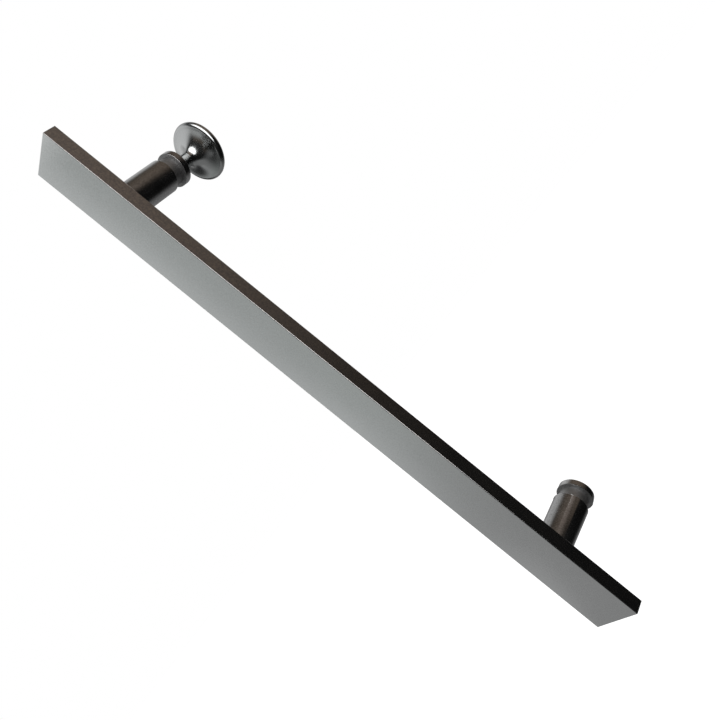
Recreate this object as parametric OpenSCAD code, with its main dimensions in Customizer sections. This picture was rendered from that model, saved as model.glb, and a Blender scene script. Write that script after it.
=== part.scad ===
// Door pull handle: a flat bar on two turned posts, with a turned knob for the far side of the door.
// Millimetres. +Z runs up the bar and +Y points into the door. The origin is midway between the
// two fixing centres, on the face of the door.

/* [Bar] */
// Length of the bar
bar_len = 400; // [390:5:600]
// Width of the bar's flat face
bar_w = 33; // [26:0.5:50]
// Thickness of the bar
bar_t = 8.8; // [8:0.1:14]
// Rounding of the bar's edges
bar_round = 0.4; // [0.2:0.1:1]
// Metal left between the tapped holes and the front face
bar_skin = 2; // [1.5:0.5:3]

/* [Posts] */
// Distance between the two fixing centres
fixing_pitch = 300; // [200:5:360]
// Diameter of a post
post_d = 20; // [16:0.5:26]
// Standoff from the back of the bar to the face of the door
post_len = 45; // [44:1:75]
// Diameter of the end ring against the door
ring_d = 21; // [16:0.5:27]
// Thickness of the end ring
ring_t = 4; // [3:0.5:8]
// Width of the groove behind the ring
groove_w = 7; // [2:0.5:8]
// Depth of the groove, on the radius
groove_depth = 1.75; // [1:0.25:2.5]
// Rounding of the shoulder where the groove starts
shoulder_round = 0.5; // [0.2:0.1:1.5]
// Rounding of the ring's edge beside the groove
ring_round = 0.3; // [0.2:0.1:1.4]
// Rounding of the ring's edge against the door
seat_round = 0.3; // [0.2:0.1:1]

/* [Knob] */
// Diameter of the knob's disc
knob_d = 36.4; // [28:0.2:46]
// Thickness of the disc's full-round rim
rim_t = 4.8; // [3:0.2:6]
// Height from the foot to the middle of the rim
rim_height = 21.3; // [18:0.1:30]
// Rise of the crown above the rim
crown_rise = 1; // [0.5:0.1:2]
// Diameter of the neck at its waist
neck_d = 8.4; // [8:0.2:12]
// Diameter of the foot
foot_d = 14; // [12.5:0.5:15.5]
// Height of the foot's straight side
foot_h = 1.5; // [1:0.1:3]
// Rounding of the foot's edge
foot_round = 0.4; // [0.1:0.1:0.8]
// Height of the waist above the foot's face
waist_height = 10; // [6:0.5:12]
// Pull of the flare's curve along the neck where it leaves the waist
flare_at_waist = 4.5; // [2:0.5:5]
// Pull of the flare's curve along the disc where it meets the rim
flare_at_rim = 5; // [2:0.5:7]
// Slope of the disc where the flare meets the rim
disc_slope = 8; // [0:1:15]

/* [Studs] */
// Thread diameter of all studs
thread_d = 6; // [5:0.5:7]
// Thread pitch
thread_pitch = 1; // [0.75:0.05:1.25]
// Gap round a stud's core in its tapped hole
thread_gap = 0.05; // [0.03:0.01:0.08]
// Length of a bar stud
bar_stud_len = 20; // [14:1:20]
// Length of the stud that the knob turns on
knob_stud_len = 32; // [24:1:32]
// Depth of the knob's tapped hole
knob_hole_depth = 10.5; // [8:0.5:12]
// Free depth left past the end of each stud
stud_end_gap = 0.5; // [0.3:0.1:1.5]
// Bevel at the mouth of each tapped hole
mouth_bevel = 0.5; // [0.2:0.1:0.8]
// Bevel on the ends of a stud
stud_bevel = 0.6; // [0.3:0.1:1]
// Width across the flats of a stud's hexagon socket
socket_af = 3; // [2:0.5:3]
// Depth of a stud's hexagon socket
socket_depth = 3; // [2:0.5:4]

/* [Hidden] */
$fn = 96;

// Overrun of a cut past the face that it opens
cut_over = 1;
// Steps in a rounding of the bar, in a small turned rounding and in a long curve of the knob
bar_steps = 4;
edge_steps = 6;
curve_steps = 24;
// Height of a drill's point for each millimetre of its radius
drill_point = 0.6;
// Sides of a hexagon socket
hexagon = 6;

post_r = post_d / 2;
ring_r = ring_d / 2;
groove_floor_r = post_r - groove_depth;
hole_r = (thread_d - thread_pitch) / 2;
stud_r = hole_r - thread_gap;

// The bar stud reaches to the end gap in the bar, and the rest of it is in the post
bar_hole_depth = bar_t - bar_skin;
bar_stud_in_bar = bar_hole_depth - stud_end_gap;
bar_stud_in_post = bar_stud_len - bar_stud_in_bar;

// The knob stud fills the knob, and the rest of it is in the post
knob_stud_in_knob = knob_hole_depth - stud_end_gap;
knob_stud_in_post = knob_stud_len - knob_stud_in_knob;
door_hole_depth = knob_stud_in_post + 2 * stud_end_gap;

// The knob's rim and crown
rim_r = rim_t / 2;
rim_centre = knob_d / 2 - rim_r;
crown_height = rim_r + crown_rise;
crown_r = (rim_centre ^ 2 + crown_height ^ 2 - rim_r ^ 2) / (2 * crown_rise);
crown_centre = rim_height + crown_height - crown_r;
crown_angle = atan2(rim_height - crown_centre, rim_centre);
neck_r = neck_d / 2;
foot_r = foot_d / 2;

// Where the flare meets the rim, and the way it runs there
flare_way = [cos(disc_slope), sin(disc_slope)];
flare_end = [rim_centre + rim_r * flare_way[1], rim_height - rim_r * flare_way[0]];

bar_metal = [0.40, 0.41, 0.42];
post_metal = [0.24, 0.23, 0.23];
knob_metal = [0.46, 0.47, 0.48];
stud_metal = [0.55, 0.55, 0.53];

// Points on an ellipse about a centre, from one angle to another
function arc(centre, size, from, to, steps) = [
    for (i = [0 : steps])
        let (a = from + (to - from) * i / steps)
            [centre[0] + size[0] * cos(a), centre[1] + size[1] * sin(a)]
];

// Points on a cubic curve from one point to another, drawn towards two others on the way
function curve(start, start_pull, end_pull, end, steps) = [
    for (i = [0 : steps])
        let (t = i / steps, u = 1 - t)
            u ^ 3 * start + 3 * u ^ 2 * t * start_pull + 3 * u * t ^ 2 * end_pull + t ^ 3 * end
];

// Turns an outline of [radius, distance towards the door] about the Y axis
module turned(outline) {
    rotate([-90, 0, 0])
        rotate_extrude()
            polygon(outline);
}

// A rectangle with round corners, extruded along Z about its centre
module round_prism(w, h, length, round) {
    x = w / 2 - round;
    y = h / 2 - round;
    size = [round, round];
    linear_extrude(length, center = true)
        polygon(concat(
            arc([x, y], size, 0, 90, bar_steps),
            arc([-x, y], size, 90, 180, bar_steps),
            arc([-x, -y], size, 180, 270, bar_steps),
            arc([x, -y], size, 270, 360, bar_steps)
        ));
}

// A block with all of its edges rounded
module eased_block(w, t, length, round) {
    intersection() {
        round_prism(w, t, length, round);
        rotate([90, 0, 0])
            round_prism(w, length, t, round);
        rotate([0, 90, 0])
            round_prism(length, t, w, round);
    }
}

// The cut for a tapped hole that opens towards +Y at the origin
module tapped_hole(depth, point) {
    turned([
        [0, -depth - point],
        [hole_r, -depth],
        [hole_r, -mouth_bevel],
        [hole_r + mouth_bevel + cut_over, cut_over],
        [0, cut_over]
    ]);
}

// A threaded stud from one place to another along Y, with a hexagon socket in its far end
module stud(from, to) {
    difference() {
        turned([
            [0, from],
            [stud_r - stud_bevel, from],
            [stud_r, from + stud_bevel],
            [stud_r, to - stud_bevel],
            [stud_r - stud_bevel, to],
            [0, to]
        ]);
        translate([0, to - socket_depth, 0])
            rotate([-90, 0, 0])
                cylinder(h = socket_depth + cut_over, d = socket_af / cos(180 / hexagon), $fn = hexagon);
    }
}

// A turned post from the back of the bar to the door, tapped from both ends
module post() {
    groove_start = -ring_t - groove_w;
    color(post_metal)
        difference() {
            turned(concat(
                [[0, -post_len], [post_r, -post_len]],
                arc([post_r - shoulder_round, groove_start - shoulder_round],
                    [shoulder_round, shoulder_round], 0, 90, edge_steps),
                [[groove_floor_r, groove_start], [groove_floor_r, -ring_t]],
                arc([ring_r - ring_round, -ring_t + ring_round], [ring_round, ring_round], -90, 0, edge_steps),
                arc([ring_r - seat_round, -seat_round], [seat_round, seat_round], 0, 90, edge_steps),
                [[0, 0]]
            ));
            tapped_hole(door_hole_depth, hole_r * drill_point);
            translate([0, -post_len, 0])
                mirror([0, 1, 0])
                    tapped_hole(bar_stud_in_post + stud_end_gap, hole_r * drill_point);
        }
}

// The stud that joins a post to the bar
module bar_stud() {
    color(stud_metal)
        stud(-post_len - bar_stud_in_bar, -post_len + bar_stud_in_post);
}

module pull_bar() {
    color(bar_metal)
        translate([0, -post_len, 0])
            difference() {
                translate([0, -bar_t / 2, 0])
                    eased_block(bar_w, bar_t, bar_len, bar_round);
                for (side = [-1, 1])
                    translate([0, 0, side * fixing_pitch / 2])
                        tapped_hole(bar_hole_depth, 0);
            }
}

module upper_post() {
    translate([0, 0, fixing_pitch / 2])
        post();
}

module lower_post() {
    translate([0, 0, -fixing_pitch / 2])
        post();
}

module upper_bar_stud() {
    translate([0, 0, fixing_pitch / 2])
        bar_stud();
}

module lower_bar_stud() {
    translate([0, 0, -fixing_pitch / 2])
        bar_stud();
}

// The knob: foot, cove, waist, trumpet flare, full-round rim and shallow crown, in one turned outline
module knob() {
    color(knob_metal)
        translate([0, 0, fixing_pitch / 2])
            difference() {
                turned(concat(
                    [[0, 0]],
                    arc([foot_r - foot_round, foot_round], [foot_round, foot_round], -90, 0, edge_steps),
                    arc([foot_r, waist_height], [foot_r - neck_r, waist_height - foot_h],
                        -90, -180, curve_steps),
                    curve([neck_r, waist_height], [neck_r, waist_height + flare_at_waist],
                        flare_end - flare_at_rim * flare_way, flare_end, curve_steps),
                    arc([rim_centre, rim_height], [rim_r, rim_r], disc_slope - 90, crown_angle, curve_steps),
                    arc([0, crown_centre], [crown_r, crown_r], crown_angle, 90, edge_steps)
                ));
                mirror([0, 1, 0])
                    tapped_hole(knob_hole_depth, hole_r * drill_point);
            }
}

module knob_stud() {
    color(stud_metal)
        translate([0, 0, fixing_pitch / 2])
            stud(-knob_stud_in_post, knob_stud_in_knob);
}

pull_bar();
upper_post();
lower_post();
upper_bar_stud();
lower_bar_stud();
knob();
knob_stud();
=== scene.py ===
"""Looks for the door pull handle: dark polished metal, a studio that the metal mirrors, and the camera.

Metres, in the frame of the CAD model: +Z up the bar towards the knob, +Y into the door, X across the bar,
with the origin midway between the fixing centres on the face of the door.
"""

import math

import bmesh
import bpy
from mathutils import Matrix, Vector


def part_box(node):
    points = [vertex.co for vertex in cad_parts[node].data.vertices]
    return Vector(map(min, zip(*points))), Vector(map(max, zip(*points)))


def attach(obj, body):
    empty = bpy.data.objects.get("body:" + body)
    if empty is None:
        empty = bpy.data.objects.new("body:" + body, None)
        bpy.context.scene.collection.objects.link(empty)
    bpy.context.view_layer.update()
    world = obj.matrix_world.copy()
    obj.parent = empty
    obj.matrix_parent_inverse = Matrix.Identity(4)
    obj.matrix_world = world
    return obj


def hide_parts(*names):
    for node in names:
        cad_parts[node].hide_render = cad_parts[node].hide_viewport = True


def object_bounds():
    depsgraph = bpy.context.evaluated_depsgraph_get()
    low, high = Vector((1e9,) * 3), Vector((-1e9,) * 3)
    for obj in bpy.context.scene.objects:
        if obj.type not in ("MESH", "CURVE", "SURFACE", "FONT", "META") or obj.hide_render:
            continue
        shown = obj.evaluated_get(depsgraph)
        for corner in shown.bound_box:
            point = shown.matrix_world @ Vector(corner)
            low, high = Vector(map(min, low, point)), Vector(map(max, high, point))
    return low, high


MM = 0.001

# Camera
CAMERA_AT = Vector((339.66, -297.77, 1.93)) * MM
AIM_AT = Vector((0.02, -25.25, -2.91)) * MM
CAMERA_ROLL = math.radians(-51.003)
SENSOR_W = 36.0
LENS = 38.746
CLIP_START = 10 * MM

# Posts: radii and distances in front of the door
POST_Z = 150 * MM
POST_R = 10 * MM
POST_LEN = 45 * MM
RING_R = 10.5 * MM
RING_T = 4 * MM
GROOVE_W = 7 * MM
GROOVE_DEPTH = 1.75 * MM
SHOULDER_ROUND = 0.5 * MM
RING_ROUND = 0.3 * MM
SEAT_ROUND = 0.3 * MM

# The tapped hole in the lower post's end
HOLE_R = 2.5 * MM
HOLE_DEPTH = 23 * MM
HOLE_POINT = 1.5 * MM
HOLE_MOUTH = 0.5 * MM
THREAD_PITCH = 1.0 * MM
THREAD_CUT = 0.5 * MM
THREAD_STEPS = 8

# Knob: radii and distances towards the door, from its foot
KNOB_Z = 150 * MM
FOOT_R = 7.0 * MM
FOOT_H = 1.5 * MM
FOOT_ROUND = 0.4 * MM
NECK_R = 4.2 * MM
WAIST_Y = 10.0 * MM
FLARE_AT_WAIST = 4.5 * MM
FLARE_AT_RIM = 5.0 * MM
DISC_SLOPE = 8
RIM_CENTRE_R = 15.8 * MM
RIM_CENTRE_Y = 21.3 * MM
RIM_R = 2.4 * MM
CROWN_RISE = 1.0 * MM

# Steps round a turned piece, in its small roundings and in the longer curves of the knob
TURN_STEPS = 160
EDGE_STEPS = 8
FOOT_STEPS = 6
COVE_STEPS = 32
FLARE_STEPS = 64
RIM_STEPS = 48
CROWN_STEPS = 24
# Turned faces that meet at more than this many degrees are shaded with an edge between them
SHARP_FROM = 35

# Metal: the ranges of a noise that are spread over a soft and a crisp pattern, and the size of the specks
SOFT_NOISE = (0.3, 0.7)
CRISP_NOISE = (0.35, 0.65)
SPECK_SIZE = 1.0 * MM
# Where a coarse finish starts and where it is full, inside the bar's sides, the shoulder and the ring
BAR_HALF_W = 16.5 * MM
SIDE_FADE = (0.3 * MM, 0.1 * MM)
SHOULDER_FADE = 0.2 * MM
RING_FADE = (0.05 * MM, 0.15 * MM)

# Studio
FLOOR_DROP = 600 * MM
FLOOR_RADIUS = 12.0
FLOOR_STEPS = 96
FLOOR_COLOUR = (0.82, 0.82, 0.82, 1.0)
FLOOR_ROUGHNESS = 0.9
FLOOR_GLOW = 0.75
ROOM_LEVEL = 0.45
LAMP_HEADING = (121, 23)
LAMP_DISTANCE = 1.2
LAMP_WIDTH = 0.92
LAMP_HEIGHT = 2.3
LAMP_RADIANCE = 3.2


def heading(azimuth, elevation):
    """The unit vector at an azimuth from +Y towards +X and an elevation above the floor, in degrees."""
    a, e = math.radians(azimuth), math.radians(elevation)
    return Vector((math.cos(e) * math.sin(a), math.cos(e) * math.cos(a), math.sin(e)))


# What the metal mirrors in the white room: soft-edged screens, each one over those before it. Each has a
# name for the reader, a heading, the angles from there at which it is full and gone, and a colour.
SCREENS = [
    ("low_left", heading(-66, -33), 37, 70, (0.27, 0.27, 0.27)),
    ("far_left", heading(-58, 51), 9, 31, (0.58, 0.58, 0.58)),
    ("wall", heading(-125, 2), 22, 30, (0.67, 0.68, 0.68)),
    ("half_wall", heading(145, 0), 88.8, 91.2, (0.44, 0.46, 0.45)),
    ("ceiling", heading(-134, 53), 24, 30, (1.0, 1.0, 1.0)),
    ("dark_gap", heading(-97, 3), 2, 31, (0.04, 0.04, 0.04)),
    ("door_side", heading(91, -4), 85, 118, (0.007, 0.007, 0.007)),
    ("pale_top", heading(95, 50), 8, 34, (0.45, 0.45, 0.45)),
    ("warm_wall", heading(18, 20), 2, 45, (0.226, 0.179, 0.140)),
    ("warm_edge", heading(85, 28), 12, 42, (0.30, 0.245, 0.21)),
    ("ground", heading(-129, -37), 14, 36, (0.31, 0.31, 0.31)),
    ("low_wall", heading(-116, -20), 7.5, 9.5, (0.44, 0.44, 0.44)),
    ("behind", heading(-168, 1), 14, 41, (0.04, 0.04, 0.04)),
    ("through_gap", heading(-25, 21), 8, 22, (1.0, 1.0, 1.0)),
    ("high_behind", heading(168, 30), 12, 33, (0.01, 0.01, 0.01)),
]


class Shader:
    """A node tree with short calls for the nodes used here."""

    def __init__(self, tree):
        self.nodes, self.links = tree.nodes, tree.links
        self.nodes.clear()

    def add(self, kind, inputs=None, **settings):
        made = self.nodes.new(kind)
        for name, value in settings.items():
            setattr(made, name, value)
        for name, value in (inputs or {}).items():
            self.put(made.inputs[name], value)
        return made

    def put(self, socket, value):
        """Links an output to a socket, or sets the socket's own value."""
        if isinstance(value, bpy.types.NodeSocket):
            self.links.new(value, socket)
        else:
            socket.default_value = value

    def maths(self, operation, a, b=0.0):
        return self.add("ShaderNodeMath", {0: a, 1: b}, operation=operation).outputs[0]

    def ramp(self, value, low, high, to_low, to_high, smooth=False):
        kind = "SMOOTHSTEP" if smooth else "LINEAR"
        inputs = {"Value": value, "From Min": low, "From Max": high, "To Min": to_low, "To Max": to_high}
        return self.add("ShaderNodeMapRange", inputs, interpolation_type=kind).outputs["Result"]

    def blend(self, factor, a, b):
        made = self.add("ShaderNodeMix", data_type="RGBA")
        self.put(made.inputs["Factor"], factor)
        colours = [s for s in made.inputs if s.type == "RGBA"]
        self.put(colours[0], a)
        self.put(colours[1], b)
        return next(s for s in made.outputs if s.type == "RGBA")

    def noise(self, where, size, detail):
        """Noise with features of that size in metres."""
        placed = self.add("ShaderNodeMapping", {"Vector": where, "Scale": [1 / size] * 3}).outputs["Vector"]
        made = self.add("ShaderNodeTexNoise", {"Vector": placed, "Scale": 1.0, "Detail": detail})
        return made.outputs["Fac"]


def metal(name, colour, roughness, haze, grain, grain_size, grain_depth, mottle, coarse=None):
    """Dark polished metal: broad haze and fine grain in its colour, roughness and surface.

    A coarse part of it, rougher and mottled in two colours of its own, is given by a function. That returns
    where the part is, the roughness added there, and the two colours that it is mottled with.
    """
    made = bpy.data.materials.new(name)
    made.use_nodes = True
    s = Shader(made.node_tree)
    where = s.add("ShaderNodeTexCoord").outputs["Object"]
    broad = s.noise(where, haze, detail=3.0)
    fine = s.noise(where, grain_size, detail=2.0)
    dark = tuple(c * (1 - mottle) for c in colour) + (1.0,)
    pale = tuple(min(1.0, c * (1 + mottle)) for c in colour) + (1.0,)
    tone = s.blend(s.ramp(fine, *CRISP_NOISE, 0, 1), dark, pale)
    rough = s.maths("ADD", s.ramp(broad, *SOFT_NOISE, *roughness), s.ramp(fine, *SOFT_NOISE, -grain, grain))
    if coarse:
        inside, coarse_rough, coarse_dark, coarse_pale = coarse(s, where)
        speck = s.noise(where, SPECK_SIZE, detail=3.0)
        tone = s.blend(inside, tone, s.blend(s.ramp(speck, *SOFT_NOISE, 0, 1), coarse_dark, coarse_pale))
        rough = s.maths("ADD", rough, s.maths("MULTIPLY", inside, coarse_rough))
    bump = s.add("ShaderNodeBump", {"Height": fine, "Strength": 1.0, "Distance": grain_depth})
    shader = s.add(
        "ShaderNodeBsdfPrincipled",
        {"Base Color": tone, "Metallic": 1.0, "Roughness": rough, "Normal": bump.outputs["Normal"]},
    )
    out = s.add("ShaderNodeOutputMaterial")
    s.links.new(shader.outputs["BSDF"], out.inputs["Surface"])
    return made


def bar_sides(s, where):
    """The bar's long narrow sides, where the grain is coarser and warmer than on its flat faces."""
    across = s.maths("ABSOLUTE", s.add("ShaderNodeSeparateXYZ", {0: where}).outputs["X"])
    inside = s.ramp(across, BAR_HALF_W - SIDE_FADE[0], BAR_HALF_W - SIDE_FADE[1], 0, 1)
    return inside, 0.12, (0.31, 0.31, 0.32, 1.0), (0.46, 0.44, 0.42, 1.0)


def groove_darker_rougher(s, where):
    """The groove with the ring's face beside it, darker and rougher than the rest of the post."""
    along = s.add("ShaderNodeSeparateXYZ", {0: where}).outputs["Y"]
    shoulder = -RING_T - GROOVE_W
    starts = s.ramp(along, shoulder - SHOULDER_FADE, shoulder, 0, 1)
    ends = s.ramp(along, RING_FADE[0] - RING_T, RING_FADE[1] - RING_T, 1, 0)
    # Darker, rougher mottled tone in the groove and on the ring's face
    return s.maths("MULTIPLY", starts, ends), 0.30, (0.24, 0.24, 0.24, 1.0), (0.32, 0.32, 0.32, 1.0)


def bar_metal():
    return metal(
        "bar_metal",
        colour=(0.62, 0.63, 0.63),
        roughness=(0.07, 0.11),
        haze=30 * MM,
        grain=0.02,
        grain_size=0.5 * MM,
        grain_depth=0.002 * MM,
        mottle=0.05,
        coarse=bar_sides,
    )


def post_metal():
    return metal(
        "post_metal",
        colour=(0.36, 0.36, 0.36),
        roughness=(0.18, 0.26),
        haze=12 * MM,
        grain=0.03,
        grain_size=0.8 * MM,
        grain_depth=0.002 * MM,
        mottle=0.16,
        coarse=groove_darker_rougher,
    )


def knob_metal():
    return metal(
        "knob_metal",
        colour=(0.40, 0.41, 0.41),
        roughness=(0.18, 0.22),
        haze=15 * MM,
        grain=0.01,
        grain_size=0.4 * MM,
        grain_depth=0.00002 * MM,
        mottle=0.02,
    )


def stud_steel():
    return metal(
        "stud_steel",
        colour=(0.55, 0.55, 0.53),
        roughness=(0.28, 0.36),
        haze=6 * MM,
        grain=0.04,
        grain_size=0.3 * MM,
        grain_depth=0.004 * MM,
        mottle=0.06,
    )


def arc(centre, size, start, end, steps):
    """Points on an ellipse about a centre, from one angle to another in degrees."""
    angles = [math.radians(start + (end - start) * i / steps) for i in range(steps + 1)]
    return [(centre[0] + size[0] * math.cos(a), centre[1] + size[1] * math.sin(a)) for a in angles]


def circle(centre, radius, start, end, steps):
    """Points on a circle about a centre, from one angle to another in degrees."""
    return arc(centre, (radius, radius), start, end, steps)


def curve(start, start_pull, end_pull, end, steps):
    """Points on a cubic curve from start to end, drawn towards two other points on the way."""
    made = []
    for i in range(steps + 1):
        t = i / steps
        u = 1 - t
        made.append(tuple(
            u**3 * a + 3 * u * u * t * b + 3 * u * t * t * c + t**3 * d
            for a, b, c, d in zip(start, start_pull, end_pull, end)
        ))
    return made


def lathe(name, outline, centre_z, material, thread=None):
    """Turns an outline of (radius, y) about the Y axis at a height.

    A thread, given by the places between which it runs, widens the turns there along a helix.
    """
    made = bmesh.new()
    turns = [2 * math.pi * i / TURN_STEPS for i in range(TURN_STEPS)]
    rings = []
    for r, y in outline:
        if r == 0:
            rings.append([made.verts.new((0, y, centre_z))])
            continue
        ring = []
        for a in turns:
            wide = r
            if thread and thread[0] <= y <= thread[1]:
                turn = (y / THREAD_PITCH - a / (2 * math.pi)) % 1
                wide += THREAD_CUT * (1 - abs(2 * turn - 1))
            ring.append(made.verts.new((wide * math.cos(a), y, centre_z + wide * math.sin(a))))
        rings.append(ring)
    for low, high in zip(rings, rings[1:]):
        for i in range(TURN_STEPS):
            j = (i + 1) % TURN_STEPS
            corners = [low[i % len(low)], low[j % len(low)], high[j % len(high)], high[i % len(high)]]
            made.faces.new(list(dict.fromkeys(corners)))
    bmesh.ops.recalc_face_normals(made, faces=made.faces)
    mesh = bpy.data.meshes.new(name)
    made.to_mesh(mesh)
    made.free()
    mesh.shade_smooth()
    mesh.set_sharp_from_angle(angle=math.radians(SHARP_FROM))
    mesh.materials.append(material)
    piece = bpy.data.objects.new(name, mesh)
    bpy.context.scene.collection.objects.link(piece)
    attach(piece, "root")
    return piece


def post(name, centre_z, material, tapped):
    """A turned post with a groove and an end ring, and a threaded hole in its end where that is open."""
    shoulder = -RING_T - GROOVE_W
    outline = [(0, -POST_LEN), (POST_R, -POST_LEN)]
    outline += circle((POST_R - SHOULDER_ROUND, shoulder - SHOULDER_ROUND), SHOULDER_ROUND, 0, 90, EDGE_STEPS)
    outline += [(POST_R - GROOVE_DEPTH, shoulder), (POST_R - GROOVE_DEPTH, -RING_T)]
    outline += circle((RING_R - RING_ROUND, RING_ROUND - RING_T), RING_ROUND, -90, 0, EDGE_STEPS)
    outline += circle((RING_R - SEAT_ROUND, -SEAT_ROUND), SEAT_ROUND, 0, 90, EDGE_STEPS)
    thread = None
    if tapped:
        rings = round(HOLE_DEPTH / THREAD_PITCH) * THREAD_STEPS
        thread = (-HOLE_DEPTH, -HOLE_MOUTH - THREAD_CUT)
        outline += [(HOLE_R + HOLE_MOUTH, 0), (HOLE_R, -HOLE_MOUTH)]
        outline += [(HOLE_R, thread[1] + (thread[0] - thread[1]) * i / rings) for i in range(rings + 1)]
        outline += [(0, -HOLE_DEPTH - HOLE_POINT)]
    else:
        outline += [(0, 0)]
    piece = lathe(name + "_turned", outline, centre_z, material, thread=thread)
    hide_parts(name)


def knob(material):
    """The turned knob: foot, cove, waist, trumpet flare, round rim and crown, all as smooth curves."""
    crown_height = RIM_R + CROWN_RISE
    crown_r = (RIM_CENTRE_R**2 + crown_height**2 - RIM_R**2) / (2 * CROWN_RISE)
    crown_y = RIM_CENTRE_Y + crown_height - crown_r
    crown_from = math.degrees(math.atan2(RIM_CENTRE_Y - crown_y, RIM_CENTRE_R))
    outline = [(0, 0)]
    outline += circle((FOOT_R - FOOT_ROUND, FOOT_ROUND), FOOT_ROUND, -90, 0, FOOT_STEPS)
    outline += arc((FOOT_R, WAIST_Y), (FOOT_R - NECK_R, WAIST_Y - FOOT_H), -90, -180, COVE_STEPS)
    across, along = math.cos(math.radians(DISC_SLOPE)), math.sin(math.radians(DISC_SLOPE))
    meets = (RIM_CENTRE_R + RIM_R * along, RIM_CENTRE_Y - RIM_R * across)
    outline += curve(
        (NECK_R, WAIST_Y),
        (NECK_R, WAIST_Y + FLARE_AT_WAIST),
        (meets[0] - FLARE_AT_RIM * across, meets[1] - FLARE_AT_RIM * along),
        meets,
        FLARE_STEPS,
    )[1:]
    outline += circle((RIM_CENTRE_R, RIM_CENTRE_Y), RIM_R, DISC_SLOPE - 90, crown_from, RIM_STEPS)[1:]
    outline += circle((0, crown_y), crown_r, crown_from, 90, CROWN_STEPS)[1:-1]
    outline += [(0, crown_y + crown_r)]
    piece = lathe("knob_turned", outline, KNOB_Z, material)
    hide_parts("knob")


def dress(nodes):
    """Gives each CAD node its material."""
    satin, dark, polished, stud = bar_metal(), post_metal(), knob_metal(), stud_steel()
    finishes = {
        "pull_bar": satin,
        "upper_post": dark,
        "lower_post": dark,
        "knob": polished,
        "upper_bar_stud": stud,
        "lower_bar_stud": stud,
        "knob_stud": stud,
    }
    for name, finish in finishes.items():
        for place in nodes[name].material_slots:
            place.material = finish
    knob(finishes["knob"])
    post("upper_post", POST_Z, finishes["upper_post"], tapped=False)
    post("lower_post", -POST_Z, finishes["lower_post"], tapped=True)


def studio_world():
    """White to the camera, screens in white where metal mirrors it, and a plain level for the rest."""
    world = bpy.data.worlds.new("studio")
    bpy.context.scene.world = world
    world.use_nodes = True
    s = Shader(world.node_tree)
    looks = s.add("ShaderNodeTexCoord").outputs["Generated"]
    seen = (1.0, 1.0, 1.0, 1.0)
    for _, towards, full, gone, colour in SCREENS:
        near = s.add("ShaderNodeVectorMath", {0: looks, 1: towards}, operation="DOT_PRODUCT")
        edges = math.cos(math.radians(gone)), math.cos(math.radians(full))
        covers = s.ramp(near.outputs["Value"], *edges, 0, 1, smooth=True)
        seen = s.blend(covers, seen, colour + (1.0,))
    rays = s.add("ShaderNodeLightPath").outputs
    plain = (ROOM_LEVEL, ROOM_LEVEL, ROOM_LEVEL, 1.0)
    mirrored = s.blend(s.maths("MAXIMUM", rays["Is Glossy Ray"], rays["Is Transmission Ray"]), plain, seen)
    colour = s.blend(rays["Is Camera Ray"], mirrored, (1.0, 1.0, 1.0, 1.0))
    light = s.add("ShaderNodeBackground", {"Color": colour, "Strength": 1.0})
    out = s.add("ShaderNodeOutputWorld")
    s.links.new(light.outputs["Background"], out.inputs["Surface"])


def studio_lamp(knob_at):
    """One tall soft lamp, whose mirror image is the white highlight on the knob."""
    data = bpy.data.lights.new("soft_lamp", "AREA")
    data.shape = "ELLIPSE"
    data.size = LAMP_WIDTH
    data.size_y = LAMP_HEIGHT
    # The energy is pi times the radiance and the area of the ellipse
    data.energy = LAMP_RADIANCE * math.pi * LAMP_WIDTH * LAMP_HEIGHT * math.pi / 4
    lamp = bpy.data.objects.new("soft_lamp", data)
    bpy.context.scene.collection.objects.link(lamp)
    towards = heading(*LAMP_HEADING)
    lamp.location = knob_at + towards * LAMP_DISTANCE
    lamp.rotation_mode = "QUATERNION"
    lamp.rotation_quaternion = (-towards).to_track_quat("-Z", "Y")
    lamp.visible_camera = False


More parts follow.
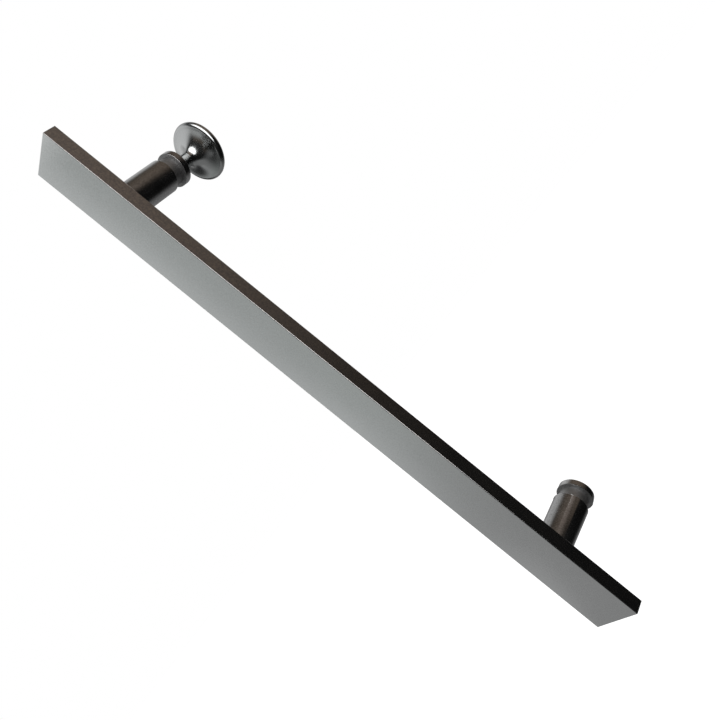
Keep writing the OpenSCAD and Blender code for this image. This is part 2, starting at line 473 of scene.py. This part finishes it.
def white_floor(lowest):
    """A pale floor far below: as white as the background to the camera, but darker in the object's shadow."""
    ring = [2 * math.pi * i / FLOOR_STEPS for i in range(FLOOR_STEPS)]
    mesh = bpy.data.meshes.new("floor")
    mesh.from_pydata([(math.cos(a), math.sin(a), 0) for a in ring], [], [list(range(FLOOR_STEPS))])
    mesh.transform(Matrix.Scale(FLOOR_RADIUS, 4))
    floor = bpy.data.objects.new("floor", mesh)
    bpy.context.scene.collection.objects.link(floor)
    floor.location = (0, 0, lowest - FLOOR_DROP)
    floor.visible_glossy = False
    made = bpy.data.materials.new("floor_white")
    made.use_nodes = True
    s = Shader(made.node_tree)
    rays = s.add("ShaderNodeLightPath").outputs
    matt = s.add("ShaderNodeBsdfPrincipled", {"Base Color": FLOOR_COLOUR, "Roughness": FLOOR_ROUGHNESS})
    strength = s.maths("MULTIPLY", rays["Is Camera Ray"], FLOOR_GLOW)
    glow = s.add("ShaderNodeEmission", {"Color": (1, 1, 1, 1), "Strength": strength})
    both = s.add("ShaderNodeAddShader", {0: matt.outputs["BSDF"], 1: glow.outputs["Emission"]})
    out = s.add("ShaderNodeOutputMaterial")
    s.links.new(both.outputs["Shader"], out.inputs["Surface"])
    mesh.materials.append(made)


def camera():
    """The photograph's view: nearly level, past the bar's edge, and rolled so that the bar runs downhill."""
    data = bpy.data.cameras.new("camera")
    data.sensor_width = SENSOR_W
    data.lens = LENS
    data.clip_start = CLIP_START
    made = bpy.data.objects.new("camera", data)
    bpy.context.scene.collection.objects.link(made)
    looking = (AIM_AT - CAMERA_AT).to_track_quat("-Z", "Y").to_matrix()
    turned = looking @ Matrix.Rotation(CAMERA_ROLL, 3, "Z")
    made.matrix_world = Matrix.Translation(CAMERA_AT) @ turned.to_4x4()
    bpy.context.scene.camera = made


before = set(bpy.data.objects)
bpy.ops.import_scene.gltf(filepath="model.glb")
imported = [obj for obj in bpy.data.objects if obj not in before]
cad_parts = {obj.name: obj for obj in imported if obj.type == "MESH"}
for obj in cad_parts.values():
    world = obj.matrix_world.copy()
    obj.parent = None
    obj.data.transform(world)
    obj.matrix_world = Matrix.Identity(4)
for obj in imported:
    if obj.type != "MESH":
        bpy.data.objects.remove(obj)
cad_low, cad_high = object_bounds()

dress(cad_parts)
knob_low, knob_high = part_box("knob")
studio_world()
studio_lamp((knob_low + knob_high) / 2)
white_floor(cad_low.z)
camera()
bpy.context.scene.view_settings.view_transform = "Standard"
